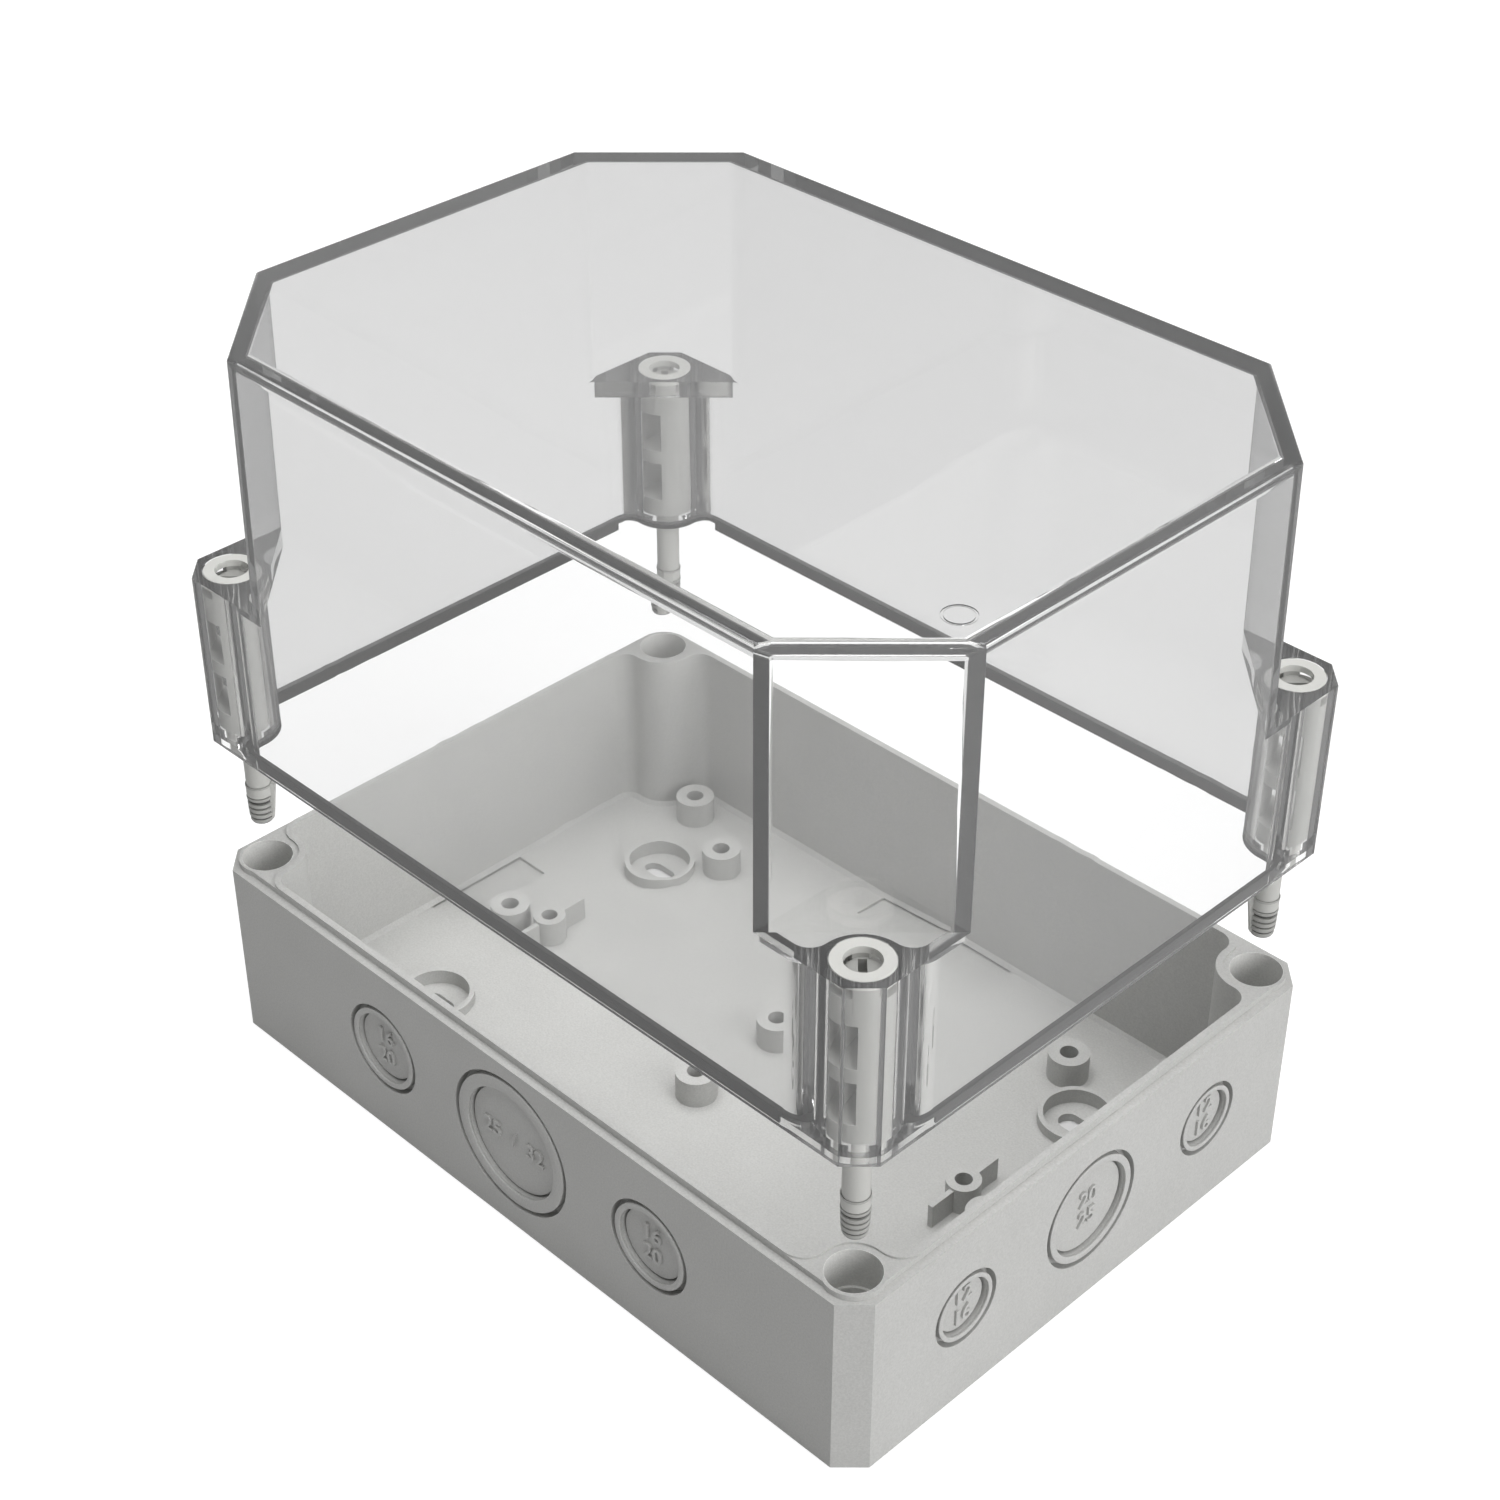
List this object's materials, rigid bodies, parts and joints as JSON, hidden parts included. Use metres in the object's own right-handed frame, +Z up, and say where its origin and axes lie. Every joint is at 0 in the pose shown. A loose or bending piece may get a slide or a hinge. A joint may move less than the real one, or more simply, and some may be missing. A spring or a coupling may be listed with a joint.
{
  "type": "polycarbonate enclosure",
  "caption": "Rectangular plastic enclosure with a grey knock-out base, a tall clear eight-sided cover raised above it, a rim seal and captive corner screws.",
  "frame": {"origin": "middle of the underside of the base, on the surface that it stands on", "axes": "+Z up, +X along the long side, +Y towards the rear long side"},
  "size_m": [0.1824, 0.1304, 0.1667],
  "materials": {
    "base_plastic": "fine moulded grain, light warm grey",
    "clear_cover": "clear, polished, slightly smoky in the thickness of the wall",
    "seal_rubber": "soft matt seal",
    "screw_plastic": "satin moulded plastic, slightly warm off-white"
  },
  "bodies": {
    "base": {"base_housing": "base_plastic"},
    "cover": {"cover_shell": "clear_cover", "cover_seal": "seal_rubber"},
    "screw_front_left": {"cover_screw_front_left": "screw_plastic"},
    "screw_front_right": {"cover_screw_front_right": "screw_plastic"},
    "screw_rear_left": {"cover_screw_rear_left": "screw_plastic"},
    "screw_rear_right": {"cover_screw_rear_right": "screw_plastic"}
  },
  "joints": [
    {"name": "cover_lift", "type": "slide", "parent": "base", "child": "cover", "axis": [0, 0, 1], "range_m": [-0.0326, 0.03]},
    {"name": "screw_turn_front_left", "type": "hinge", "parent": "cover", "child": "screw_front_left", "pos_m": [-0.08365, -0.05765, 0.1122], "axis": [0, 0, 1], "range_deg": [0, 180]},
    {"name": "screw_turn_front_right", "type": "hinge", "parent": "cover", "child": "screw_front_right", "pos_m": [0.08365, -0.05765, 0.1122], "axis": [0, 0, 1], "range_deg": [0, 180]},
    {"name": "screw_turn_rear_left", "type": "hinge", "parent": "cover", "child": "screw_rear_left", "pos_m": [-0.08365, 0.05765, 0.1122], "axis": [0, 0, 1], "range_deg": [0, 180]},
    {"name": "screw_turn_rear_right", "type": "hinge", "parent": "cover", "child": "screw_rear_right", "pos_m": [0.08365, 0.05765, 0.1122], "axis": [0, 0, 1], "range_deg": [0, 180]}
  ]
}
